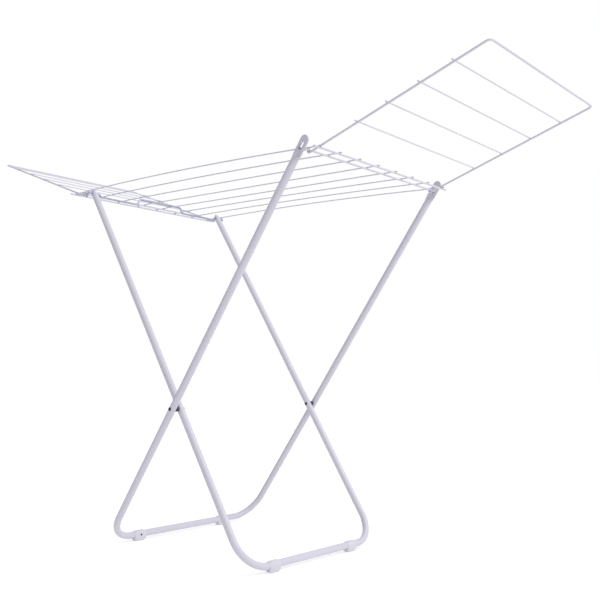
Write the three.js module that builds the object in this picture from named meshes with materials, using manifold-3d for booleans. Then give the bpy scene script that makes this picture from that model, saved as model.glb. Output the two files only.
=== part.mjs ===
// A folding clothes drying rack: two bent-tube leg frames crossed on rivets, a platform of thin rods
// that is hinged on the outer frame and rests on a galvanised wire through the inner frame, and two
// wire wings hooked round the platform's end bars.
// Millimetres, +X towards the right wing, +Y from the near legs to the far legs, +Z up, floor at z = 0.

import * as THREE from 'three';
import { mergeVertices } from 'three/addons/utils/BufferGeometryUtils.js';
import Module from 'manifold-3d';

const wasm = await Module();
wasm.setup();

// ---- driving dimensions ----
const gap = 0.35; // clearance between pieces that touch or turn on each other

const tubeRadius = 9;
const tubeWall = 1;
const tubeSides = 16;
const bendRadius = 76;
const soleDepth = 8; // foot below the tube
const baseSpread = 243; // base bars' axes from the pivot, along X
const topSpread = 404.5; // hinge axes from the pivot, along X
const outerBaseHalf = 276; // half widths of the two frames, at the base and at the hinge axes
const outerTopHalf = 284;
const innerBaseHalf = 256;
const innerTopHalf = 247;

const flatHalfWidth = 12.5; // pressed top of an outer leg
const flatHalfThickness = 2;
const flatBelow = 9; // pressed length below the hinge axis
const swageLength = 36; // from the pressed flat back to the round tube
const flatDomeCentre = 20; // centre of the round end past the hinge axis
const slotLength = 13; // hinge slot, between the centres of its round ends
const slotRadius = 3.6;
const roundDomeCentre = -9; // where an inner leg's domed end begins, past the wire
const roundDomeLength = 26;

const rodRadius = 1.7;
const barRadius = 2.5; // end bars, wing frames and hinge axles
const wireRadius = 2.8; // cross wire
const wireSides = 8;
const rodHeight = 977.2; // platform rods' axes above the floor
const rodCount = 8;
const rodPitch = 75.85;
const rodBowStep = 2.2; // added to the bow of a rod for every rod outwards of the middle pair
const rodStub = 5.5; // rod ends past the outer bars
const barPitch = 32.5; // inner to outer end bar
const rightInnerBarX = 410.5;
const leftInnerBarX = -433.5;
const innerBarHalf = 275.5;
const outerBarHalf = 284;

const wingReach = 433; // outer bar to the wing's far bar, along the wing
const wingHalf = 259;
const wingCorner = 10;
const wingRodCount = 4;
const wingRodPitch = 82;
const wingRodStub = 6;
const hookWrap = 200; // degrees that a wing's hook goes round the inner bar

const wireDip = 7; // cross wire below its swivel axis, between the inner leg and the raised middle
const wireMiddleHalf = 80; // raised middle, over the two middle rods
const wireJog = 12; // ramp from the dip to the raised middle
const wireBend = 3.5; // bend radius
const wireShoulder = 16; // swivel stretch inboard of the inner leg's axis
const wireEnd = 22.8; // swivel stretch outboard of the inner leg's axis
const wireTailDrop = 13;
const wireTailOut = 6;

const footLength = 38;
const footHalfWidth = 11.2;
const soleHalfWidth = 8;
const footShoulder = 4; // height below the tube's axis where the foot starts to narrow
const outerNearFootY = -174; // middles of the feet along the base bars
const outerFarFootY = 143;
const innerNearFootY = -161;
const innerFarFootY = 144;
const screwRadius = 1.75;
const screwTip = 5; // screw's tip from the tube's axis
const screwHeadRadius = 2.6;
const screwHeadHeight = 1.2;
const screwRecessRadius = 1;
const screwRecessDepth = 0.8;

const rivetRadius = 3;
const rivetHeadRadius = 4.6;
const rivetHeadHeight = 1.5;
const rivetBoreRadius = 1.9;
const rivetBoreDepth = 5;
const spacerRadius = 7;
const axleOutset = 2.2; // axle's outer end past an outer leg's pressed top
const axleInset = 3; // axle's inner end past the outermost rod's axis

// ---- worked out from them ----
const baseHeight = tubeRadius + soleDepth; // base bars' axes above the floor
const hingeHeight = rodHeight - rodRadius - wireRadius - gap;
const barHeight = rodHeight - rodRadius - barRadius - gap;
const legRise = hingeHeight - baseHeight;
const legRun = baseSpread + topSpread;
const legLength = Math.hypot(legRise, legRun);
const legLean = Math.atan2(legRun, legRise);
const pivotShare = baseSpread / legRun;
const pivotHeight = baseHeight + legRise * pivotShare;
const outerPivotHalf = THREE.MathUtils.lerp(outerBaseHalf, outerTopHalf, pivotShare);
const innerPivotHalf = THREE.MathUtils.lerp(innerBaseHalf, innerTopHalf, pivotShare);
const outermostRodY = (rodPitch * (rodCount - 1)) / 2;
const contact = 2 * barRadius + gap; // wing wire's axis to an end bar's axis
const wingTilt = Math.asin((2 * contact) / barPitch);
const wingLength = wingReach + barPitch * Math.cos(wingTilt); // inner bar to the wing's far bar
const wingRodLift = barRadius + rodRadius + gap;
const platformCentre = (rightInnerBarX + leftInnerBarX) / 2;

// ---- materials ----
const paint = (color, roughness, metalness) => (
  new THREE.MeshStandardMaterial({ color, roughness, metalness })
);
const powderCoat = paint(0xe9e8ee, 0.45, 0.1);
const galvanised = paint(0x9fabb8, 0.4, 0.9);
const footPlastic = paint(0xe4e3e8, 0.6, 0);
const darkPlastic = paint(0x3a3840, 0.6, 0);
const darkSteel = paint(0x2f2d33, 0.5, 0.7);

// ---- solids ----
const point = (x, y, z) => new THREE.Vector3(x, y, z);

function toSolid(geometry) {
  const bare = geometry.clone();
  bare.deleteAttribute('normal');
  bare.deleteAttribute('uv');
  const merged = mergeVertices(bare, 1e-4);
  return new wasm.Manifold(new wasm.Mesh({
    numProp: 3,
    vertProperties: new Float32Array(merged.attributes.position.array),
    triVerts: new Uint32Array(merged.index.array),
  }));
}

function toGeometry(solid) {
  const mesh = solid.getMesh();
  const geometry = new THREE.BufferGeometry();
  geometry.setAttribute('position', new THREE.BufferAttribute(new Float32Array(mesh.vertProperties), 3));
  geometry.setIndex(new THREE.BufferAttribute(new Uint32Array(mesh.triVerts), 1));
  geometry.computeVertexNormals();
  return geometry;
}

const cut = (geometry, tools) => toGeometry(
  tools.reduce((solid, tool) => solid.subtract(toSolid(tool)), toSolid(geometry)),
);

/** A curve that gives an extrusion one section at each of its stations, square to the route there. */
class Route extends THREE.Curve {
  constructor(stations) {
    super();
    this.stations = stations;
  }

  getPointAt(t) {
    return this.stations[Math.round(t * (this.stations.length - 1))].clone();
  }

  getTangentAt(t) {
    const last = this.stations.length - 1;
    const i = Math.round(t * last);
    const before = this.stations[Math.max(i, 1)].clone().sub(this.stations[Math.max(i - 1, 0)]).normalize();
    const next = Math.min(i, last - 1);
    const after = this.stations[next + 1].clone().sub(this.stations[next]).normalize();
    return before.add(after).normalize();
  }
}

/** A round bar swept along stations. */
function sweep(stations, radius, sides = wireSides) {
  const corners = Array.from({ length: sides }, (_, i) => {
    const angle = (2 * Math.PI * (i + 0.5)) / sides;
    return new THREE.Vector2(radius * Math.cos(angle), radius * Math.sin(angle));
  });
  return new THREE.ExtrudeGeometry(new THREE.Shape(corners), {
    steps: stations.length - 1,
    extrudePath: new Route(stations),
  });
}

/** Stations along straight lines between corners, each inner corner rounded. */
function rounded(corners, radius, steps) {
  const stations = [corners[0]];
  for (let i = 1; i < corners.length - 1; i += 1) {
    const back = corners[i - 1].clone().sub(corners[i]).normalize();
    const on = corners[i + 1].clone().sub(corners[i]).normalize();
    const reach = radius / Math.tan(back.angleTo(on) / 2);
    const start = corners[i].clone().addScaledVector(back, reach);
    const end = corners[i].clone().addScaledVector(on, reach);
    stations.push(...new THREE.QuadraticBezierCurve3(start, corners[i], end).getPoints(steps));
  }
  return [...stations, corners.at(-1)];
}

const alongY = (x, z, from, to, radius, sides) => sweep([point(x, from, z), point(x, to, z)], radius, sides);

const alongX = (x, reach, y, z, radius, sides) => (
  sweep([point(x - reach, y, z), point(x + reach, y, z)], radius, sides)
);

/** A turned piece along +Y (side 1) or -Y (side -1), its profile given as [radius, distance]. */
function turned(profile, side, x, z, sides) {
  const points = profile.map(([radius, along]) => new THREE.Vector2(radius, along));
  const geometry = new THREE.LatheGeometry(points, sides);
  if (side < 0) geometry.rotateX(Math.PI);
  return geometry.translate(x, 0, z);
}

// ---- leg frames ----
// A frame is drawn up its legs (u, from the base bar's axis), across (v) and square to both (w).
// lean is +1 for the outer frame, whose tops are on the right, and -1 for the inner frame.
const framePlace = (lean, u, v, w) => point(
  lean * (-baseSpread + u * Math.sin(legLean) + w * Math.cos(legLean)),
  v,
  baseHeight + u * Math.cos(legLean) - w * Math.sin(legLean),
);

function frameStations(lean, baseHalf, topHalf, stops) {
  const bendSteps = 6;
  const half = [];
  for (let i = 0; i <= bendSteps; i += 1) {
    const angle = (Math.PI / 2) * (i / bendSteps);
    half.push([bendRadius * (1 - Math.cos(angle)), baseHalf - bendRadius * (1 - Math.sin(angle))]);
  }
  for (const u of stops) half.push([u, THREE.MathUtils.lerp(baseHalf, topHalf, u / legLength)]);
  const far = half.map(([u, v]) => framePlace(lean, u, v, 0));
  const near = half.map(([u, v]) => framePlace(lean, u, -v, 0)).reverse();
  return [...near, ...far];
}

/** Reshapes a frame's tops: section(u) scales the tube's width and thickness u past the hinge axis. */
function shapeTops(geometry, lean, topHalf, section) {
  const positions = geometry.attributes.position;
  for (let i = 0; i < positions.count; i += 1) {
    const dx = lean * positions.getX(i) - topSpread;
    const dz = positions.getZ(i) - hingeHeight;
    const u = dx * Math.sin(legLean) + dz * Math.cos(legLean);
    const w = dx * Math.cos(legLean) - dz * Math.sin(legLean);
    const [wide, thick] = section(u);
    const axisY = Math.sign(positions.getY(i)) * topHalf;
    const shapedY = axisY + (positions.getY(i) - axisY) * thick;
    const shaped = framePlace(lean, legLength + u, shapedY, w * wide);
    positions.setXYZ(i, shaped.x, shaped.y, shaped.z);
  }
  return geometry;
}

/** How much of its width a round end keeps, past where it begins. */
const roundEnd = (past, length) => {
  const tip = 0.06; // the last section keeps a little width
  return past <= 0 ? 1 : Math.sqrt(Math.max(1 - (past / length) ** 2, tip ** 2));
};

function pressedSection(u) {
  const flat = THREE.MathUtils.smoothstep(u, -flatBelow - swageLength, -flatBelow);
  const wide = THREE.MathUtils.lerp(1, flatHalfWidth / tubeRadius, flat);
  const thick = THREE.MathUtils.lerp(1, flatHalfThickness / tubeRadius, flat);
  return [wide * roundEnd(u - flatDomeCentre, flatHalfWidth), thick];
}

function domedSection(u) {
  const scale = roundEnd(u - roundDomeCentre, roundDomeLength);
  return [scale, scale];
}

/** Stops over a round end, closer together towards its tip. */
const domeStops = (start, length) => [0, 0.35, 0.65, 0.87, 1].map((share) => (
  legLength + start + length * Math.sin((Math.PI / 2) * share)
));

function hingeSlot(side) {
  const outline = new THREE.Shape();
  outline.absarc(0, 0, slotRadius, Math.PI, 2 * Math.PI, false);
  outline.absarc(0, slotLength, slotRadius, 0, Math.PI, false);
  const depth = 4 * flatHalfThickness;
  const slot = new THREE.ExtrudeGeometry(outline, { depth, bevelEnabled: false, curveSegments: 6 });
  slot.translate(0, 0, -depth / 2).rotateX(Math.PI / 2).rotateY(legLean);
  return slot.translate(topSpread, side * outerTopHalf, hingeHeight);
}

/** Holes that both frames have: rivets through the legs and foot screws into the base bar. */
function sharedHoles(lean, baseHalf, topHalf, feetY) {
  const half = THREE.MathUtils.lerp(baseHalf, topHalf, pivotShare);
  const reach = tubeRadius + 2;
  const inwardWall = lean * (tubeRadius - baseSpread);
  const holeRadius = rivetRadius + gap;
  return [
    ...[-half, half].map((y) => alongY(0, pivotHeight, y - reach, y + reach, holeRadius, 12)),
    ...feetY.map((y) => alongX(inwardWall, 2 * tubeWall, y, baseHeight, screwRadius + gap)),
  ];
}

function outerLegFrame() {
  const swageStart = legLength - flatBelow - swageLength;
  const swage = [0, 0.2, 0.4, 0.6, 0.8, 1].map((share) => swageStart + swageLength * share);
  const stops = [...swage, ...domeStops(flatDomeCentre, flatHalfWidth)];
  const outside = sweep(frameStations(1, outerBaseHalf, outerTopHalf, stops), tubeRadius, tubeSides);
  const inside = frameStations(1, outerBaseHalf, outerTopHalf, [swageStart]);
  return cut(shapeTops(outside, 1, outerTopHalf, pressedSection), [
    sweep(inside, tubeRadius - tubeWall, tubeSides),
    ...sharedHoles(1, outerBaseHalf, outerTopHalf, [outerNearFootY, outerFarFootY]),
    hingeSlot(-1),
    hingeSlot(1),
  ]);
}

function innerLegFrame() {
  const stops = domeStops(roundDomeCentre, roundDomeLength);
  const outside = sweep(frameStations(-1, innerBaseHalf, innerTopHalf, stops), tubeRadius, tubeSides);
  const inside = frameStations(-1, innerBaseHalf, innerTopHalf, [legLength + roundDomeCentre]);
  const reach = tubeRadius + 2;
  return cut(shapeTops(outside, -1, innerTopHalf, domedSection), [
    sweep(inside, tubeRadius - tubeWall, tubeSides),
    ...sharedHoles(-1, innerBaseHalf, innerTopHalf, [innerNearFootY, innerFarFootY]),
    ...[-1, 1].map((side) => {
      const y = side * innerTopHalf;
      return alongY(-topSpread, hingeHeight, y - reach, y + reach, wireRadius + gap, 12);
    }),
  ]);
}

// ---- feet ----
function foot(lean, y) {
  const outline = new THREE.Shape();
  outline.moveTo(-soleHalfWidth, -baseHeight);
  outline.lineTo(soleHalfWidth, -baseHeight);
  outline.lineTo(footHalfWidth, -footShoulder);
  outline.absarc(0, 0, footHalfWidth, 0, Math.PI, false);
  outline.lineTo(-footHalfWidth, -footShoulder);
  const bore = new THREE.Path();
  bore.absarc(0, 0, tubeRadius + gap, 0, 2 * Math.PI, false);
  outline.holes.push(bore);
  const depth = footLength;
  const sleeve = new THREE.ExtrudeGeometry(outline, { depth, bevelEnabled: false, curveSegments: 9 });
  sleeve.translate(0, 0, -footLength / 2).rotateX(Math.PI / 2).translate(-lean * baseSpread, y, baseHeight);
  const inwardFace = lean * (footHalfWidth - baseSpread);
  return cut(sleeve, [alongX(inwardFace, tubeRadius / 2, y, baseHeight, screwRadius + gap)]);
}

function footScrew(lean, y) {
  const underHead = footHalfWidth + gap;
  const top = underHead + screwHeadHeight;
  const screw = turned([
    [0, screwTip],
    [screwRadius, screwTip + screwRadius],
    [screwRadius, underHead],
    [screwHeadRadius, underHead],
    [screwHeadRadius, top - screwHeadHeight / 2],
    [screwRecessRadius, top],
    [screwRecessRadius, top - screwRecessDepth],
    [0, top - screwRecessDepth],
  ], 1, 0, 0, 10);
  return screw.rotateZ((-lean * Math.PI) / 2).translate(-lean * baseSpread, y, baseHeight);
}

// ---- pivots ----
function pivotRivet(side) {
  const low = innerPivotHalf - tubeRadius - gap - rivetHeadHeight;
  const high = outerPivotHalf + tubeRadius + gap + rivetHeadHeight;
  return turned([
    [0, low + rivetBoreDepth],
    [rivetBoreRadius, low + rivetBoreDepth],
    [rivetBoreRadius, low],
    [rivetHeadRadius, low + rivetHeadHeight / 2],
    [rivetHeadRadius, low + rivetHeadHeight],
    [rivetRadius, low + rivetHeadHeight],
    [rivetRadius, high - rivetHeadHeight],
    [rivetHeadRadius, high - rivetHeadHeight],
    [rivetHeadRadius, high - rivetHeadHeight / 2],
    [rivetBoreRadius, high],
    [rivetBoreRadius, high - rivetBoreDepth],
    [0, high - rivetBoreDepth],
  ], side, 0, pivotHeight, 12);
}

function pivotSpacer(side) {
  const low = innerPivotHalf + tubeRadius + gap;
  const high = outerPivotHalf - tubeRadius - gap;
  const bore = rivetRadius + gap;
  const profile = [[bore, low], [spacerRadius, low], [spacerRadius, high], [bore, high], [bore, low]];
  return turned(profile, side, 0, pivotHeight, 16);
}

// ---- platform ----
function platformRod(i) {
  const middle = (rodCount - 1) / 2;
  const y = (i - middle) * rodPitch;
  const bow = rodBowStep * (Math.abs(i - middle) - 0.5);
  const span = rightInnerBarX - leftInnerBarX;
  const reach = barPitch + rodStub;
  const bowed = [0, 0.125, 0.25, 0.375, 0.5, 0.625, 0.75, 0.875, 1].map((share) => (
    point(leftInnerBarX + span * share, y, rodHeight + 4 * bow * share * (1 - share))
  ));
  return sweep([
    point(leftInnerBarX - reach, y, rodHeight),
    ...bowed,
    point(rightInnerBarX + reach, y, rodHeight),
  ], rodRadius);
}

/** A pin through an outer leg's slot. */
function hingeAxle(side) {
  const from = outermostRodY + axleInset;
  const to = outerTopHalf + flatHalfThickness + axleOutset;
  return alongY(topSpread, hingeHeight, side * from, side * to, barRadius, 12);
}

// ---- cross wire ----
function crossWire() {
  const lift = rodHeight + rodRadius + wireRadius + gap - hingeHeight;
  const half = [
    [0, wireMiddleHalf, lift],
    [0, wireMiddleHalf + wireJog, -wireDip],
    [0, innerTopHalf - wireShoulder - wireDip, -wireDip],
    [0, innerTopHalf - wireShoulder, 0],
    [0, innerTopHalf + wireEnd, 0],
    [-wireTailOut, innerTopHalf + wireEnd, -wireTailDrop],
  ];
  const far = half.map(([x, y, z]) => point(-topSpread + x, y, hingeHeight + z));
  const near = half.map(([x, y, z]) => point(-topSpread + x, -y, hingeHeight + z)).reverse();
  return sweep(rounded([...near, ...far], wireBend, 3), wireRadius);
}

// ---- wings ----
// A wing is drawn along it (s, from under its inner bar's axis), across (y) and square to both (h).
const wingPlace = (innerX, s, y, h) => point(
  innerX + Math.sign(innerX) * (s * Math.cos(wingTilt) - (h - contact) * Math.sin(wingTilt)),
  y,
  barHeight + s * Math.sin(wingTilt) + (h - contact) * Math.cos(wingTilt),
);

function wingFrame(innerX) {
  const hookSteps = 7;
  const hook = Array.from({ length: hookSteps }, (_, i) => {
    const angle = THREE.MathUtils.degToRad(-90 - hookWrap * (1 - i / hookSteps));
    return [contact * Math.cos(angle), contact * (1 + Math.sin(angle))];
  });
  const cornerSteps = 4;
  const corner = Array.from({ length: cornerSteps + 1 }, (_, i) => {
    const angle = (Math.PI / 2) * (i / cornerSteps);
    return [wingLength - wingCorner * (1 - Math.sin(angle)), wingHalf - wingCorner * (1 - Math.cos(angle))];
  });
  const half = (side) => [
    ...hook.map(([s, h]) => wingPlace(innerX, s, side * wingHalf, h)),
    wingPlace(innerX, 0, side * wingHalf, 0),
    ...corner.map(([s, y]) => wingPlace(innerX, s, side * y, 0)),
  ];
  return sweep([...half(-1), ...half(1).reverse()], barRadius);
}

function wingRod(innerX, k) {
  const s = wingLength - (wingRodCount - k) * wingRodPitch;
  const reach = wingHalf + wingRodStub;
  return sweep([-reach, reach].map((y) => wingPlace(innerX, s, y, wingRodLift)), rodRadius);
}

// ---- the rack ----
const rack = new THREE.Group();
rack.position.x = -platformCentre;

function add(name, geometry, material) {
  const mesh = new THREE.Mesh(geometry, material);
  mesh.name = name;
  rack.add(mesh);
}

add('outer_leg_frame', outerLegFrame(), powderCoat);
add('inner_leg_frame', innerLegFrame(), powderCoat);
for (const [side, end, outerFootY, innerFootY] of [
  [-1, 'near', outerNearFootY, innerNearFootY],
  [1, 'far', outerFarFootY, innerFarFootY],
]) {
  add(`outer_foot_${end}`, foot(1, outerFootY), footPlastic);
  add(`inner_foot_${end}`, foot(-1, innerFootY), footPlastic);
  add(`outer_foot_screw_${end}`, footScrew(1, outerFootY), darkSteel);
  add(`inner_foot_screw_${end}`, footScrew(-1, innerFootY), darkSteel);
  add(`pivot_rivet_${end}`, pivotRivet(side), darkSteel);
  add(`pivot_spacer_${end}`, pivotSpacer(side), darkPlastic);
  add(`hinge_axle_${end}`, hingeAxle(side), galvanised);
}

for (let i = 0; i < rodCount; i += 1) add(`platform_rod_${i + 1}`, platformRod(i), powderCoat);

for (const [label, innerX] of [['left', leftInnerBarX], ['right', rightInnerBarX]]) {
  const outerX = innerX + Math.sign(innerX) * barPitch;
  add(`${label}_inner_bar`, alongY(innerX, barHeight, -innerBarHalf, innerBarHalf, barRadius), powderCoat);
  add(`${label}_outer_bar`, alongY(outerX, barHeight, -outerBarHalf, outerBarHalf, barRadius), powderCoat);
  add(`${label}_wing_frame`, wingFrame(innerX), powderCoat);
  for (let k = 0; k < wingRodCount; k += 1) add(`${label}_wing_rod_${k + 1}`, wingRod(innerX, k), powderCoat);
}

add('cross_wire', crossWire(), galvanised);

export default rack;
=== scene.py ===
"""The finished look of a folding clothes drying rack: powder-coated tube and wire, a galvanised
cross wire and hinge pins, dark rivets and moulded feet, on a pale floor in soft light.

Lengths are in millimetres until a mesh is made. +X is towards the right wing, +Y from the near
legs to the far legs, and +Z up from the floor.
"""

import math

import bmesh
import bpy
from mathutils import Matrix, Vector


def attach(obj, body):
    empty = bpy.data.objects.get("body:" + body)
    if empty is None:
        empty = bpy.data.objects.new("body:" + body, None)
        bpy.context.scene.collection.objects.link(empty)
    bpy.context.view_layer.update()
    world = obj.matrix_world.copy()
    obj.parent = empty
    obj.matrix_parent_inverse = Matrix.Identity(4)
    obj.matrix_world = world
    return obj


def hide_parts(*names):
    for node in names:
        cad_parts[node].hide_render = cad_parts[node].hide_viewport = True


MM = 0.001

# ---- sizes shared with the CAD ----
TUBE_R = 9.0
BASE_Z = 17.0
PIVOT_X = 11.5
BASE_SPREAD = 243.0
TOP_SPREAD = 404.5
BEND_R = 76.0
OUTER_HALF = (276.0, 284.0)
INNER_HALF = (256.0, 247.0)
ROD_R = 1.7
BAR_R = 2.5
WIRE_R = 2.8
GAP = 0.35
ROD_Z = 977.2
ROD_PITCH = 75.85
ROD_COUNT = 8
ROD_BOW_STEP = 2.2
BAR_PITCH = 32.5
INNER_BAR_X = 422.0
INNER_BAR_HALF = 275.5
OUTER_BAR_HALF = 284.0
WING_REACH = 433.0
WING_HALF = 259.0
OUTER_FEET_Y = {"near": -174.0, "far": 143.0}
INNER_FEET_Y = {"near": -161.0, "far": 144.0}
FOOT_R = 11.2
FOOT_LONG = 38.0
FOOT_SHOULDER = 4.0
FOOT_TAPER = 8.0  # length over which each end of a foot grows to full size
SOLE_HALF = 8.0
RIVET_HOLE_R = 3.4
SCREW_HOLE_R = 2.1
OVERRUN = 3.0  # how far a cutter reaches past a tube's wall
SQUARE_TIP = 0.01  # end rounding of a cutter, which has none to speak of

BAR_Z = ROD_Z - ROD_R - BAR_R - GAP
HINGE_Z = ROD_Z - ROD_R - WIRE_R - GAP
OUTER_BAR_X = INNER_BAR_X + BAR_PITCH
LEG_RUN = BASE_SPREAD + TOP_SPREAD
LEG_RISE = HINGE_Z - BASE_Z
LEG_LENGTH = math.hypot(LEG_RUN, LEG_RISE)
LEAN = math.atan2(LEG_RUN, LEG_RISE)
PIVOT_SHARE = BASE_SPREAD / LEG_RUN
PIVOT_Z = BASE_Z + LEG_RISE * PIVOT_SHARE
CONTACT = 2 * BAR_R + GAP
WING_TILT = math.asin(2 * CONTACT / BAR_PITCH)
WING_LENGTH = WING_REACH + BAR_PITCH * math.cos(WING_TILT)

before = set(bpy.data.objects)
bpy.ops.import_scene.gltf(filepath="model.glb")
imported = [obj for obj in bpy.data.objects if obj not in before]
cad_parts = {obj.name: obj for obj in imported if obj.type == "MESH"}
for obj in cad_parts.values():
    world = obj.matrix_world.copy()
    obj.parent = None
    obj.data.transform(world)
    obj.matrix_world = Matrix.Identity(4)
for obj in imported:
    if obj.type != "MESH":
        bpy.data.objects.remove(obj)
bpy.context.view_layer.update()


# ---- mesh making: every maker returns (points, faces) in millimetres ----
def lerp(a, b, t):
    return a + (b - a) * t


def smoothstep(low, high, x):
    t = min(max((x - low) / (high - low), 0.0), 1.0)
    return t * t * (3 - 2 * t)


def circle(radius, sides):
    return [
        (radius * math.cos(2 * math.pi * i / sides), radius * math.sin(2 * math.pi * i / sides))
        for i in range(sides)
    ]


def skin(rings):
    """Joins rings of equal length into a closed tube."""
    sides = len(rings[0])
    points = [p for ring in rings for p in ring]
    faces = []
    for i in range(len(rings) - 1):
        for j in range(sides):
            k = (j + 1) % sides
            a, b = i * sides, (i + 1) * sides
            faces.append((a + j, a + k, b + k, b + j))
    faces.append(tuple(reversed(range(sides))))
    faces.append(tuple((len(rings) - 1) * sides + j for j in range(sides)))
    return points, faces


def sweep(path, sections, normal):
    """A section carried along a path without twisting; normal is the first section's x axis."""
    rings = []
    normal = Vector(normal)
    for i, p in enumerate(path):
        ahead = (path[i + 1] - p).normalized() if i + 1 < len(path) else Vector()
        behind = (p - path[i - 1]).normalized() if i else Vector()
        along = (ahead + behind).normalized()
        normal = (normal - along * normal.dot(along)).normalized()
        across = along.cross(normal)
        rings.append([p + normal * a + across * b for a, b in sections[i]])
    return skin(rings)


def wire(path, radius, tip, sides=14):
    """A round wire with its cut ends rounded off by tip."""
    start, end = (path[0] - path[1]).normalized(), (path[-1] - path[-2]).normalized()
    steps = 3
    head, tail = [], []
    for k in range(steps, -1, -1):
        angle = math.pi / 2 * k / steps
        inset, small = tip * (1 - math.sin(angle)), radius - tip * (1 - math.cos(angle))
        head.append((path[0] - start * inset, small))
        tail.insert(0, (path[-1] - end * inset, small))
    stations = head + [(p, radius) for p in path[1:-1]] + tail
    sections = [circle(r, sides) for _, r in stations]
    first = Vector((0, 0, 1)) if abs(start.z) < 0.9 else Vector((1, 0, 0))
    return sweep([p for p, _ in stations], sections, first)


def straight(a, b, radius, tip, sides=14):
    a, b = Vector(a), Vector(b)
    return wire([a, a.lerp(b, 0.25), a.lerp(b, 0.5), a.lerp(b, 0.75), b], radius, tip, sides)


def rounded(corners, radius, steps=7):
    """A route along straight lines, with an arc at each corner."""
    route = [corners[0]]
    for i in range(1, len(corners) - 1):
        back = (corners[i - 1] - corners[i]).normalized()
        on = (corners[i + 1] - corners[i]).normalized()
        half = back.angle(on) / 2
        centre = corners[i] + (back + on).normalized() * (radius / math.sin(half))
        reach = radius / math.tan(half)
        start, end = corners[i] + back * reach - centre, corners[i] + on * reach - centre
        route += [centre + start.lerp(end, k / steps).normalized() * radius for k in range(steps + 1)]
    return route + [corners[-1]]


def turned(profile, place, along, sides=24):
    """A turned piece; profile is (radius, distance) pairs from place along a direction."""
    along = Vector(along).normalized()
    first = Vector((0, 0, 1)) if abs(along.z) < 0.9 else Vector((1, 0, 0))
    normal = (first - along * first.dot(along)).normalized()
    across = along.cross(normal)
    rings = []
    for radius, distance in profile:
        centre = Vector(place) + along * distance
        rings.append([centre + normal * a + across * b for a, b in circle(max(radius, 0.02), sides)])
    return skin(rings)


def ring(profile, place, along, sides=24):
    """A turned piece with a hole through it: the profile closes on itself."""
    points, faces = turned(profile, place, along, sides)
    faces = faces[:-2]
    last = (len(profile) - 1) * sides
    faces += [(last + j, last + (j + 1) % sides, (j + 1) % sides, j) for j in range(sides)]
    return points, faces


def bead(centre, radii, turn=0.0, rows=6, sides=10):
    """A weld bead: a flattened ball, turned about Y."""
    spin = Matrix.Rotation(turn, 3, "Y")
    rings = []
    for i in range(1, rows):
        angle = math.pi * i / rows
        flat, up = math.sin(angle), -math.cos(angle)
        rings.append([
            Vector(centre) + spin @ Vector((radii[0] * a * flat, radii[1] * b * flat, radii[2] * up))
            for a, b in circle(1.0, sides)
        ])
    return skin(rings)


def merged(parts):
    points, faces = [], []
    for part_points, part_faces in parts:
        base = len(points)
        points += part_points
        faces += [tuple(base + i for i in face) for face in part_faces]
    return points, faces


def mesh_object(name, part, crease=35):
    points, faces = part
    mesh = bpy.data.meshes.new(name)
    mesh.from_pydata([p * MM for p in points], [], faces)
    shell = bmesh.new()
    shell.from_mesh(mesh)
    bmesh.ops.recalc_face_normals(shell, faces=shell.faces)
    shell.to_mesh(mesh)
    shell.free()
    mesh.shade_smooth()
    mesh.set_sharp_from_angle(angle=math.radians(crease))
    obj = bpy.data.objects.new(name, mesh)
    bpy.context.scene.collection.objects.link(obj)
    return obj


def modified(obj, add):
    """obj's mesh after one modifier, which add sets up."""
    add(obj)
    graph = bpy.context.evaluated_depsgraph_get()
    mesh = bpy.data.meshes.new_from_object(obj.evaluated_get(graph))
    obj.modifiers.clear()
    obj.data = mesh
    return obj


def carved(obj, cutters):
    """obj with holes cut into it."""
    tool = mesh_object("cutter", merged(cutters))

    def add(target):
        boolean = target.modifiers.new("holes", "BOOLEAN")
        boolean.operation = "DIFFERENCE"
        boolean.solver = "EXACT"
        boolean.object = tool

    modified(obj, add)
    bpy.data.objects.remove(tool)
    obj.data.set_sharp_from_angle(angle=math.radians(35))
    return obj


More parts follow.
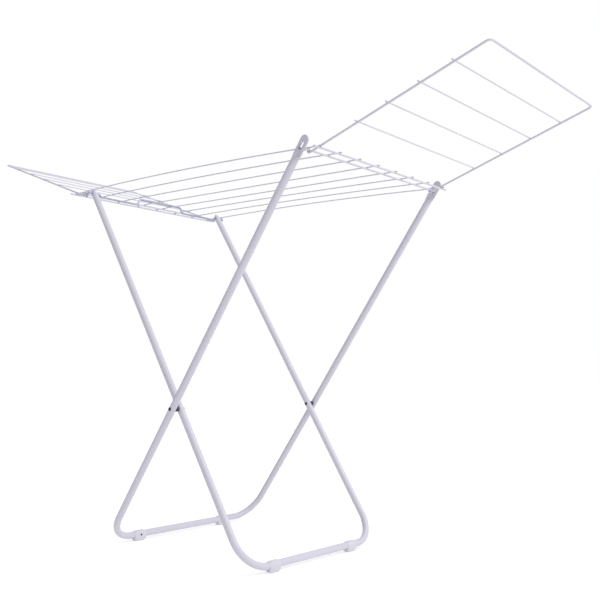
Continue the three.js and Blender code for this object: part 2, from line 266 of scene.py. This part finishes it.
# ---- materials ----
class Surface:
    """A principled material whose colour, roughness and relief vary with noise in object space."""

    def __init__(self, name, metallic, coat=0.0):
        self.material = bpy.data.materials.new(name)
        self.material.use_nodes = True
        self.nodes = self.material.node_tree.nodes
        self.links = self.material.node_tree.links
        self.shader = self.nodes["Principled BSDF"]
        self.shader.inputs["Metallic"].default_value = metallic
        self.shader.inputs["Coat Weight"].default_value = coat
        self.shader.inputs["Coat Roughness"].default_value = 0.25
        self.place = self.nodes.new("ShaderNodeTexCoord")

    def noise(self, scale, detail=3.0, stretch=None):
        node = self.nodes.new("ShaderNodeTexNoise")
        node.inputs["Scale"].default_value = scale
        node.inputs["Detail"].default_value = detail
        source = self.place.outputs["Object"]
        if stretch:
            mapping = self.nodes.new("ShaderNodeMapping")
            mapping.inputs["Scale"].default_value = stretch
            self.links.new(source, mapping.inputs["Vector"])
            source = mapping.outputs["Vector"]
        self.links.new(source, node.inputs["Vector"])
        return node.outputs["Fac"]

    def colour(self, factor, dark, light, low=0.35, high=0.65):
        ramp = self.nodes.new("ShaderNodeValToRGB")
        ramp.color_ramp.elements[0].position = low
        ramp.color_ramp.elements[0].color = (*dark, 1)
        ramp.color_ramp.elements[1].position = high
        ramp.color_ramp.elements[1].color = (*light, 1)
        self.links.new(factor, ramp.inputs["Fac"])
        self.links.new(ramp.outputs["Color"], self.shader.inputs["Base Color"])

    def roughness(self, factor, low, high):
        span = self.nodes.new("ShaderNodeMapRange")
        span.inputs["From Min"].default_value = 0.3
        span.inputs["From Max"].default_value = 0.7
        span.inputs["To Min"].default_value = low
        span.inputs["To Max"].default_value = high
        self.links.new(factor, span.inputs["Value"])
        self.links.new(span.outputs["Result"], self.shader.inputs["Roughness"])

    def relief(self, factor, depth):
        bump = self.nodes.new("ShaderNodeBump")
        bump.inputs["Strength"].default_value = 0.35
        bump.inputs["Distance"].default_value = depth * MM
        self.links.new(factor, bump.inputs["Height"])
        self.links.new(bump.outputs["Normal"], self.shader.inputs["Normal"])


def powder_coat():
    made = Surface("powder_coat", 0.0, coat=0.15)
    made.colour(made.noise(6.0), (0.515, 0.50, 0.58), (0.53, 0.515, 0.595))
    made.roughness(made.noise(90.0), 0.36, 0.46)
    made.relief(made.noise(500.0, 2.0), 0.01)
    return made.material


def galvanised():
    made = Surface("galvanised", 1.0)
    made.colour(made.noise(160.0, 4.0), (0.29, 0.32, 0.42), (0.40, 0.43, 0.54))
    made.roughness(made.noise(420.0, 4.0), 0.28, 0.46)
    made.relief(made.noise(500.0), 0.01)
    return made.material


def dark_steel():
    made = Surface("dark_steel", 0.6)
    # Near-black: partly the fixings' own dark finish, partly painted shade standing in for the dark
    # hollows in the rivet ends and at the foot screw holes.
    made.colour(made.noise(300.0), (0.045, 0.04, 0.055), (0.075, 0.068, 0.085))
    made.roughness(made.noise(700.0), 0.4, 0.52)
    made.relief(made.noise(500.0), 0.01)
    return made.material


def foot_plastic():
    made = Surface("foot_plastic", 0.0)
    made.colour(made.noise(40.0), (0.53, 0.525, 0.59), (0.55, 0.545, 0.61))
    made.roughness(made.noise(300.0), 0.5, 0.62)
    made.relief(made.noise(500.0, 2.0), 0.015)
    return made.material


def dark_plastic():
    made = Surface("dark_plastic", 0.0)
    # Near-black: partly the spacer's own dark plastic, partly painted shade standing in for the shadowed
    # gap between the two legs at the pivot.
    made.colour(made.noise(200.0), (0.02, 0.018, 0.026), (0.05, 0.045, 0.06))
    made.roughness(made.noise(500.0), 0.45, 0.6)
    made.relief(made.noise(500.0, 2.0), 0.015)
    return made.material


MATERIALS = {
    "powder_coat": powder_coat(),
    "galvanised": galvanised(),
    "dark_steel": dark_steel(),
    "foot_plastic": foot_plastic(),
    "dark_plastic": dark_plastic(),
}


def finish_piece(obj, slot, body, *nodes):
    """Paints a piece, fixes it to its body and lets it stand for its CAD nodes."""
    obj.data.materials.clear()
    obj.data.materials.append(MATERIALS[slot])
    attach(obj, body)
    if nodes:
        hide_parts(*nodes)
    return obj


# ---- leg frames ----
# lean is +1 for the outer frame, whose tops are on the right, and -1 for the inner frame.
def leg_point(lean, u, y, w=0.0):
    """u up the leg from the base bar's axis, w square to the frame."""
    return Vector((
        PIVOT_X + lean * (-BASE_SPREAD + u * math.sin(LEAN) + w * math.cos(LEAN)),
        y,
        BASE_Z + u * math.cos(LEAN) - w * math.sin(LEAN),
    ))


SIDES = 36
SLOT_R = 3.6
SLOT_LENGTH = 13.0
FLAT_HALF_WIDTH = 12.5
FLAT_HALF_THICK = 2.0
FLAT_DOME = 20.0
SWAGE = (-45.0, -9.0)
ROUND_DOME = -9.0
ROUND_DOME_LENGTH = 26.0
DIMPLE = {"u": -16.0, "long": 11.5, "wide": 5.0, "deep": 1.92}
PUNCHED_U = -20.0  # a small hole in each outer leg's inner face, below the slot
PUNCHED_R = 1.7
TIP_SHARE = 0.004  # a round end's last section keeps this share of its width, squared


def stadium(half_width, half_thick, sides):
    """Points round a flat-sided outline with round edges, from the middle of one edge."""
    edge = min(half_thick, half_width)
    run = 2 * (half_width - edge)
    bend = math.pi * edge
    outline = []
    for i in range(sides):
        place = (2 * run + 2 * bend) * i / sides
        if place < bend / 2:
            angle = place / edge
            outline.append((run / 2 + edge * math.cos(angle), half_thick * math.sin(angle)))
        elif place < bend / 2 + run:
            outline.append((run / 2 - (place - bend / 2), half_thick))
        elif place < 1.5 * bend + run:
            angle = math.pi / 2 + (place - bend / 2 - run) / edge
            outline.append((-run / 2 + edge * math.cos(angle), half_thick * math.sin(angle)))
        elif place < 1.5 * bend + 2 * run:
            outline.append((-run / 2 + (place - 1.5 * bend - run), -half_thick))
        else:
            angle = 1.5 * math.pi + (place - 1.5 * bend - 2 * run) / edge
            outline.append((run / 2 + edge * math.cos(angle), half_thick * math.sin(angle)))
    return outline


def pressed_section(u):
    """The outer leg's outline u past its hinge axis: round tube, swage, pressed flat, round end."""
    flat = smoothstep(*SWAGE, u)
    half = FLAT_HALF_WIDTH
    if u > FLAT_DOME:
        half *= math.sqrt(max(1 - ((u - FLAT_DOME) / FLAT_HALF_WIDTH) ** 2, TIP_SHARE))
    pressed = stadium(half, FLAT_HALF_THICK, SIDES)
    outline = []
    for (cw, cy), (pw, py) in zip(circle(TUBE_R, SIDES), pressed):
        w, y = lerp(cw, pw, flat), lerp(cy, py, flat)
        oval = ((u - DIMPLE["u"]) / DIMPLE["long"]) ** 2 + (w / DIMPLE["wide"]) ** 2
        if y > 0 and oval < 1:
            y -= DIMPLE["deep"] * (1 - oval) ** 2
        outline.append((w, y))
    return outline


def domed_section(u):
    """The inner leg's outline u past the cross wire's hole: round tube with a domed end."""
    past = max(u - ROUND_DOME, 0.0) / ROUND_DOME_LENGTH
    return circle(TUBE_R * math.sqrt(max(1 - past * past, TIP_SHARE)), SIDES)


def leg_frame(name, lean, half, section, top_stops):
    """A bent tube from one top, down round the base bar and up to the other top."""
    bend_steps = 14
    side = []
    for i in range(bend_steps + 1):
        angle = math.pi / 2 * i / bend_steps
        side.append((BEND_R * (1 - math.cos(angle)), half[0] - BEND_R * (1 - math.sin(angle))))
    straight_stops = [LEG_LENGTH * share for share in (0.15, 0.3, 0.45, 0.6, 0.75, 0.88)]
    for u in straight_stops + [LEG_LENGTH + stop for stop in top_stops]:
        side.append((u, lerp(*half, u / LEG_LENGTH)))
    near = [(u, -y) for u, y in reversed(side)]
    stops = near + [(0.0, 0.0)] + side
    path = [leg_point(lean, u, y) for u, y in stops]
    sections = [section(u - LEG_LENGTH) for u, _ in stops]
    square = Vector((lean * math.cos(LEAN), 0, -math.sin(LEAN)))
    return mesh_object(name, sweep(path, sections, square))


def through_y(x, z, y, reach, radius, sides=24):
    return straight((x, y - reach, z), (x, y + reach, z), radius, SQUARE_TIP, sides)


def shared_holes(lean, half, feet_y):
    """Holes that both frames have: rivets through the legs and foot screws into the base bar."""
    pivot_half = lerp(*half, PIVOT_SHARE)
    wall = PIVOT_X + lean * (TUBE_R - BASE_SPREAD)
    reach = TUBE_R + OVERRUN
    holes = [through_y(PIVOT_X, PIVOT_Z, side * pivot_half, reach, RIVET_HOLE_R) for side in (-1, 1)]
    for y in feet_y.values():
        outside, inside = (wall - OVERRUN, y, BASE_Z), (wall + OVERRUN, y, BASE_Z)
        holes.append(straight(outside, inside, SCREW_HOLE_R, SQUARE_TIP))
    return holes


def fine(start, end, count):
    """Evenly spaced stops, both ends included."""
    return [lerp(start, end, i / count) for i in range(count + 1)]


def slot_cutter(side):
    """A slot up the leg from the hinge pin, open through both faces."""
    steps = 12
    reach = 6.0
    low = [math.pi + math.pi * k / steps for k in range(steps + 1)]
    high = [math.pi * k / steps for k in range(steps + 1)]
    outline = [(SLOT_R * math.cos(a), SLOT_R * math.sin(a)) for a in low]
    outline += [(SLOT_R * math.cos(a), SLOT_LENGTH + SLOT_R * math.sin(a)) for a in high]
    rings = []
    for y in (side * OUTER_HALF[1] - reach, side * OUTER_HALF[1] + reach):
        rings.append([leg_point(1, LEG_LENGTH + u, y, w) for w, u in outline])
    return skin(rings)


def outer_legs():
    dome_steps = 9
    quarter = [math.pi / 2 * k / dome_steps for k in range(dome_steps + 1)]
    dome = [FLAT_DOME + FLAT_HALF_WIDTH * math.sin(angle) for angle in quarter]
    stops = fine(SWAGE[0] - 3, FLAT_DOME - 1, 44) + dome
    obj = leg_frame("outer_legs", 1, OUTER_HALF, pressed_section, stops)
    dot = leg_point(1, LEG_LENGTH + PUNCHED_U, 0)
    inner_y, outer_y = OUTER_HALF[1] - 7, OUTER_HALF[1] - 1.2
    punched = [
        straight((dot.x, side * inner_y, dot.z), (dot.x, side * outer_y, dot.z), PUNCHED_R, SQUARE_TIP)
        for side in (-1, 1)
    ]
    cutters = shared_holes(1, OUTER_HALF, OUTER_FEET_Y) + [slot_cutter(-1), slot_cutter(1)] + punched
    return carved(obj, cutters)


def inner_legs():
    dome_steps = 14
    quarter = [math.pi / 2 * k / dome_steps for k in range(dome_steps + 1)]
    dome = [ROUND_DOME + ROUND_DOME_LENGTH * math.sin(angle) for angle in quarter]
    obj = leg_frame("inner_legs", -1, INNER_HALF, domed_section, [-30.0, -16.0] + dome)
    x = PIVOT_X - TOP_SPREAD
    reach = TUBE_R + OVERRUN
    holes = [through_y(x, HINGE_Z, side * INNER_HALF[1], reach, WIRE_R + GAP) for side in (-1, 1)]
    return carved(obj, shared_holes(-1, INNER_HALF, INNER_FEET_Y) + holes)


finish_piece(outer_legs(), "powder_coat", "outer_leg", "outer_leg_frame")
finish_piece(inner_legs(), "powder_coat", "inner_leg", "inner_leg_frame")


# ---- feet, screws, rivets and spacers ----
def foot(name, x, y, lean):
    """A slim moulded sleeve round the base bar that narrows to its sole and tapers to its ends."""
    rings = []
    for along in fine(-FOOT_LONG / 2, FOOT_LONG / 2, 38):
        grown = smoothstep(0.0, FOOT_TAPER, FOOT_LONG / 2 - abs(along))
        radius = lerp(TUBE_R + 0.4, FOOT_R, grown)
        depth = lerp(TUBE_R + 2.5, BASE_Z, grown)
        outline = [(-SOLE_HALF, -depth), (SOLE_HALF, -depth), (radius, -FOOT_SHOULDER)]
        outline += [(radius * math.cos(a), radius * math.sin(a)) for a in
                    [math.pi * k / 24 for k in range(25)]]
        outline += [(-radius, -FOOT_SHOULDER)]
        rings.append([Vector((x + a, y - along, BASE_Z + b)) for a, b in outline])
    obj = mesh_object(name, skin(rings))
    wall = x + lean * FOOT_R
    bore_gap = 0.05
    reach = 5.0
    return carved(obj, [
        through_y(x, BASE_Z, y, FOOT_LONG, TUBE_R + bore_gap, 36),
        straight((wall - reach, y, BASE_Z), (wall + reach, y, BASE_Z), SCREW_HOLE_R, SQUARE_TIP),
    ])


def foot_screw(name, x, y, lean):
    """A small pan-head screw with a cross recess, its head on the foot's inward side."""
    shank = [(0.02, 5.0), (1.6, 6.7), (1.75, 7.2), (1.75, FOOT_R)]
    pan = [(2.4, 0.05), (2.6, 0.3), (2.55, 0.8), (2.1, 1.2), (1.2, 1.45), (0.02, 1.5)]
    profile = shank + [(radius, FOOT_R + rise) for radius, rise in pan]
    obj = mesh_object(name, turned(profile, (x, y, BASE_Z), (lean, 0, 0)), crease=60)
    depths = (FOOT_R + 0.7, FOOT_R + 3) if lean > 0 else (FOOT_R + 3, FOOT_R + 0.7)
    corners = ((-1, -1), (1, -1), (1, 1), (-1, 1))
    for wide, tall in ((0.28, 1.5), (1.5, 0.28)):
        arm = skin([
            [Vector((x + lean * d, y + a * wide, BASE_Z + b * tall)) for a, b in corners]
            for d in depths
        ])
        carved(obj, [arm])
    return obj


for lean, label, feet_y in ((1, "outer", OUTER_FEET_Y), (-1, "inner", INNER_FEET_Y)):
    base_x = PIVOT_X - lean * BASE_SPREAD
    body = f"{label}_leg"
    for end, y in feet_y.items():
        sleeve = foot(f"{label}_{end}_foot", base_x, y, lean)
        screw = foot_screw(f"{label}_{end}_screw", base_x, y, lean)
        finish_piece(sleeve, "foot_plastic", body, f"{label}_foot_{end}")
        finish_piece(screw, "dark_steel", body, f"{label}_foot_screw_{end}")

OUTER_PIVOT_HALF = lerp(*OUTER_HALF, PIVOT_SHARE)
INNER_PIVOT_HALF = lerp(*INNER_HALF, PIVOT_SHARE)


def rivet(name, side):
    """A tubular rivet through both legs, its rolled heads open in the middle."""
    head_height = 1.5
    low = INNER_PIVOT_HALF - TUBE_R - head_height
    high = OUTER_PIVOT_HALF + TUBE_R + head_height
    bore = [(0.02, 5.0), (1.9, 5.0), (1.9, 0.5)]
    rolled = [(2.3, 0.08), (3.0, 0.0), (3.9, 0.25), (4.5, 0.8), (4.6, 1.3), (4.3, 1.6), (3.0, 1.6)]
    half = bore + rolled
    profile = [(r, low + d) for r, d in half] + [(r, high - d) for r, d in reversed(half)]
    return mesh_object(name, turned(profile, (PIVOT_X, 0, PIVOT_Z), (0, side, 0)), crease=50)


def spacer(name, side):
    """A washer round the rivet, between the two legs."""
    low, high = INNER_PIVOT_HALF + TUBE_R - 0.4, OUTER_PIVOT_HALF - TUBE_R + 0.4
    profile = [(3.3, low), (6.4, low), (7.0, low + 0.6), (7.0, high - 0.6), (6.4, high), (3.3, high)]
    return mesh_object(name, ring(profile, (PIVOT_X, 0, PIVOT_Z), (0, side, 0)))


for side, end in ((-1, "near"), (1, "far")):
    finish_piece(rivet(f"rivet_{end}", side), "dark_steel", "outer_leg", f"pivot_rivet_{end}")
    finish_piece(spacer(f"spacer_{end}", side), "dark_plastic", "outer_leg", f"pivot_spacer_{end}")


# ---- platform ----
SINK = 0.75  # how far a welded rod is pressed down into its bar
SETTLE = 18.0  # length over which it comes back up
ROD_STUB = 5.5  # rod ends past the outer bars


def rod_y(i):
    return (i - (ROD_COUNT - 1) / 2) * ROD_PITCH


def rod_height(i, x):
    bow = ROD_BOW_STEP * (abs(i - (ROD_COUNT - 1) / 2) - 0.5)
    share = min(max((x + INNER_BAR_X) / (2 * INNER_BAR_X), 0.0), 1.0)
    nearest = min(abs(abs(x) - INNER_BAR_X), abs(abs(x) - OUTER_BAR_X))
    between = INNER_BAR_X <= abs(x) <= OUTER_BAR_X or abs(x) > OUTER_BAR_X
    sunk = SINK if between else SINK * (1 - smoothstep(2.0, SETTLE, nearest))
    return ROD_Z + 4 * bow * share * (1 - share) - sunk


def platform_rod(i):
    reach = OUTER_BAR_X + ROD_STUB
    stops = [-reach, -OUTER_BAR_X, -INNER_BAR_X - 3]
    stops += fine(-INNER_BAR_X, -INNER_BAR_X + SETTLE, 6) + fine(-380, 380, 24)
    stops += fine(INNER_BAR_X - SETTLE, INNER_BAR_X, 6) + [INNER_BAR_X + 3, OUTER_BAR_X, reach]
    path = [Vector((x, rod_y(i), rod_height(i, x))) for x in stops]
    return mesh_object(f"rod_{i + 1}", wire(path, ROD_R, 0.4, 12))


for i in range(ROD_COUNT):
    finish_piece(platform_rod(i), "powder_coat", "platform", f"platform_rod_{i + 1}")

for side, label in ((-1, "left"), (1, "right")):
    for place, x, half in (
        ("inner", INNER_BAR_X, INNER_BAR_HALF),
        ("outer", OUTER_BAR_X, OUTER_BAR_HALF),
    ):
        bar = straight((side * x, -half, BAR_Z), (side * x, half, BAR_Z), BAR_R, 0.6, 18)
        obj = mesh_object(f"bar_{label}_{place}", bar)
        finish_piece(obj, "powder_coat", "platform", f"{label}_{place}_bar")

weld_z = ROD_Z - SINK - ROD_R + 0.25
welds = [
    bead((side * x, rod_y(i), weld_z), (2.1, 2.1, 1.1))
    for i in range(ROD_COUNT)
    for side in (-1, 1)
    for x in (INNER_BAR_X, OUTER_BAR_X)
]
finish_piece(mesh_object("platform_welds", merged(welds)), "powder_coat", "platform")


OUTERMOST_ROD_Y = ROD_PITCH * (ROD_COUNT - 1) / 2


def hinge_pin(name, side):
    """A galvanised pin welded to the outermost rod, its end rounded off outside the leg."""
    outset = 2.2
    inner = OUTERMOST_ROD_Y + ROD_R
    outer = OUTER_HALF[1] + FLAT_HALF_THICK + outset
    x = PIVOT_X + TOP_SPREAD
    ends = (x, side * inner, HINGE_Z), (x, side * outer, HINGE_Z)
    return mesh_object(name, straight(*ends, BAR_R, 0.7, 18))


for side, end in ((-1, "near"), (1, "far")):
    finish_piece(hinge_pin(f"hinge_pin_{end}", side), "galvanised", "platform", f"hinge_axle_{end}")
pin_weld_y = OUTERMOST_ROD_Y + 2.0
pin_welds = [
    bead((PIVOT_X + TOP_SPREAD + 1, side * pin_weld_y, HINGE_Z + 1.9), (3.2, 1.6, 1.9)) for side in (-1, 1)
]
finish_piece(mesh_object("pin_welds", merged(pin_welds)), "galvanised", "platform")


# ---- cross wire ----
WIRE_DIP = 7.0  # below its swivel axis, between the inner leg and the raised middle
WIRE_MIDDLE_HALF = 80.0
WIRE_JOG = 12.0
WIRE_BEND = 3.5
WIRE_SHOULDER = 16.0
WIRE_END = 22.8
WIRE_TAIL_OUT = 6.0
WIRE_TAIL_DROP = 13.0


def cross_wire():
    """The wire through the inner legs' tops, raised in the middle over two rods."""
    lift = ROD_Z + ROD_R + WIRE_R + GAP - HINGE_Z
    top = INNER_HALF[1]
    half = [
        (0, WIRE_MIDDLE_HALF, lift),
        (0, WIRE_MIDDLE_HALF + WIRE_JOG, -WIRE_DIP),
        (0, top - WIRE_SHOULDER - WIRE_DIP, -WIRE_DIP),
        (0, top - WIRE_SHOULDER, 0),
        (0, top + WIRE_END, 0),
        (-WIRE_TAIL_OUT, top + WIRE_END, -WIRE_TAIL_DROP),
    ]
    x0 = PIVOT_X - TOP_SPREAD
    far = [Vector((x0 + x, y, HINGE_Z + z)) for x, y, z in half]
    near = [Vector((p.x, -p.y, p.z)) for p in reversed(far)]
    return mesh_object("cross_rod", wire(rounded(near + far, WIRE_BEND), WIRE_R, 0.5, 16))


finish_piece(cross_wire(), "galvanised", "cross_wire", "cross_wire")


# ---- wings ----
HOOK_WRAP = 200.0  # degrees that a wing's hook goes round the inner bar
WING_CORNER = 10.0
WING_RODS = 4
WING_ROD_PITCH = 82.0
WING_ROD_STUB = 6.0
WING_ROD_LIFT = BAR_R + ROD_R - 0.4


def wing_point(hand, s, y, h):
    """s along the wing from under its inner bar, h square to it."""
    out = s * math.cos(WING_TILT) - (h - CONTACT) * math.sin(WING_TILT)
    up = s * math.sin(WING_TILT) + (h - CONTACT) * math.cos(WING_TILT)
    return Vector((hand * (INNER_BAR_X + out), y, BAR_Z + up))


def wing_frame(hand, label):
    """One wire: a hook round the inner bar, out along the wing, across, back and hooked again."""
    hook_steps = 14
    hook = []
    for k in range(hook_steps + 1):
        angle = math.radians(-90 - HOOK_WRAP * (1 - k / hook_steps))
        hook.append((CONTACT * math.cos(angle), CONTACT * (1 + math.sin(angle))))
    corner_steps = 10
    corner = []
    for k in range(corner_steps + 1):
        angle = math.pi / 2 * k / corner_steps
        s = WING_LENGTH - WING_CORNER * (1 - math.sin(angle))
        corner.append((s, WING_HALF - WING_CORNER * (1 - math.cos(angle))))

    def half(side):
        points = [wing_point(hand, s, side * WING_HALF, h) for s, h in hook]
        points += [wing_point(hand, s, side * WING_HALF, 0) for s in (40.0, 150.0, 280.0)]
        return points + [wing_point(hand, s, side * y, 0) for s, y in corner]

    path = half(-1) + [wing_point(hand, WING_LENGTH, 0, 0)] + list(reversed(half(1)))
    return mesh_object(f"wing_{label}", wire(path, BAR_R, 0.6, 16))


for hand, label in ((-1, "left"), (1, "right")):
    body = f"{label}_wing"
    finish_piece(wing_frame(hand, label), "powder_coat", body, f"{label}_wing_frame")
    beads = []
    for k in range(WING_RODS):
        s = WING_LENGTH - (WING_RODS - k) * WING_ROD_PITCH
        reach = WING_HALF + WING_ROD_STUB
        ends = [wing_point(hand, s, y, WING_ROD_LIFT) for y in (-reach, reach)]
        rod = straight(*ends, ROD_R, 0.4, 12)
        finish_piece(mesh_object(f"wing_{label}_rod_{k + 1}", rod), "powder_coat", body,
                     f"{label}_wing_rod_{k + 1}")
        for side in (-1, 1):
            spot = wing_point(hand, s, side * WING_HALF, BAR_R - 0.1)
            beads.append(bead(spot, (2.1, 2.1, 1.1), -hand * WING_TILT))
    finish_piece(mesh_object(f"wing_{label}_welds", merged(beads)), "powder_coat", body)


# ---- floor, light and camera ----
def floor():
    half = 20000.0
    points = [Vector((x, y, 0)) for x, y in ((-half, -half), (half, -half), (half, half), (-half, half))]
    obj = mesh_object("floor", (points, [(0, 1, 2, 3)]))
    made = Surface("floor", 0.0)
    made.colour(made.noise(1.5), (0.60, 0.60, 0.605), (0.62, 0.62, 0.625))
    made.roughness(made.noise(3.0), 0.75, 0.85)
    made.shader.inputs["Emission Color"].default_value = (1.0, 1.0, 1.0, 1)
    made.shader.inputs["Emission Strength"].default_value = 0.46
    obj.data.materials.append(made.material)


def area_light(name, place, aim, size, power):
    data = bpy.data.lights.new(name, "AREA")
    data.shape = "DISK"
    data.size = size
    data.energy = power
    obj = bpy.data.objects.new(name, data)
    obj.location = place
    obj.rotation_euler = (Vector(aim) - Vector(place)).to_track_quat("-Z", "Y").to_euler()
    bpy.context.scene.collection.objects.link(obj)


def camera():
    data = bpy.data.cameras.new("camera")
    data.sensor_width = 36.0
    data.lens = 48.96
    data.shift_x = 0.0147
    data.shift_y = 0.010
    data.clip_end = 100
    obj = bpy.data.objects.new("camera", data)
    place = Vector((1.5687, -1.6420, 0.5020))
    aim = Vector((0.0712, 0.0969, 0.6561))
    roll = math.radians(1.25)
    look = (aim - place).to_track_quat("-Z", "Y").to_matrix().to_4x4()
    obj.matrix_world = Matrix.Translation(place) @ look @ Matrix.Rotation(roll, 4, "Z")
    bpy.context.scene.collection.objects.link(obj)
    bpy.context.scene.camera = obj


def studio():
    """A white room, darker on the left where no light stands."""
    world = bpy.data.worlds.new("studio")
    world.use_nodes = True
    nodes, links = world.node_tree.nodes, world.node_tree.links
    place = nodes.new("ShaderNodeTexCoord")
    side = nodes.new("ShaderNodeVectorMath")
    side.operation = "DOT_PRODUCT"
    side.inputs[1].default_value = (0.76, 0.65, 0.0)
    ramp = nodes.new("ShaderNodeValToRGB")
    ramp.color_ramp.elements[0].position = 0.15
    ramp.color_ramp.elements[0].color = (0.24, 0.21, 0.24, 1)
    ramp.color_ramp.elements[1].position = 0.6
    ramp.color_ramp.elements[1].color = (1.0, 1.0, 1.0, 1)
    spread = nodes.new("ShaderNodeMapRange")
    spread.inputs["From Min"].default_value = -1.0
    spread.inputs["From Max"].default_value = 0.0
    links.new(place.outputs["Generated"], side.inputs[0])
    links.new(side.outputs["Value"], spread.inputs["Value"])
    links.new(spread.outputs["Result"], ramp.inputs["Fac"])
    links.new(ramp.outputs["Color"], nodes["Background"].inputs["Color"])
    nodes["Background"].inputs["Strength"].default_value = 1.0
    bpy.context.scene.world = world
    bpy.context.scene.view_settings.view_transform = "Standard"


floor()
area_light("key", (2.6, 0.8, 3.2), (0, 0, 0.6), 2.0, 55)
studio()
camera()
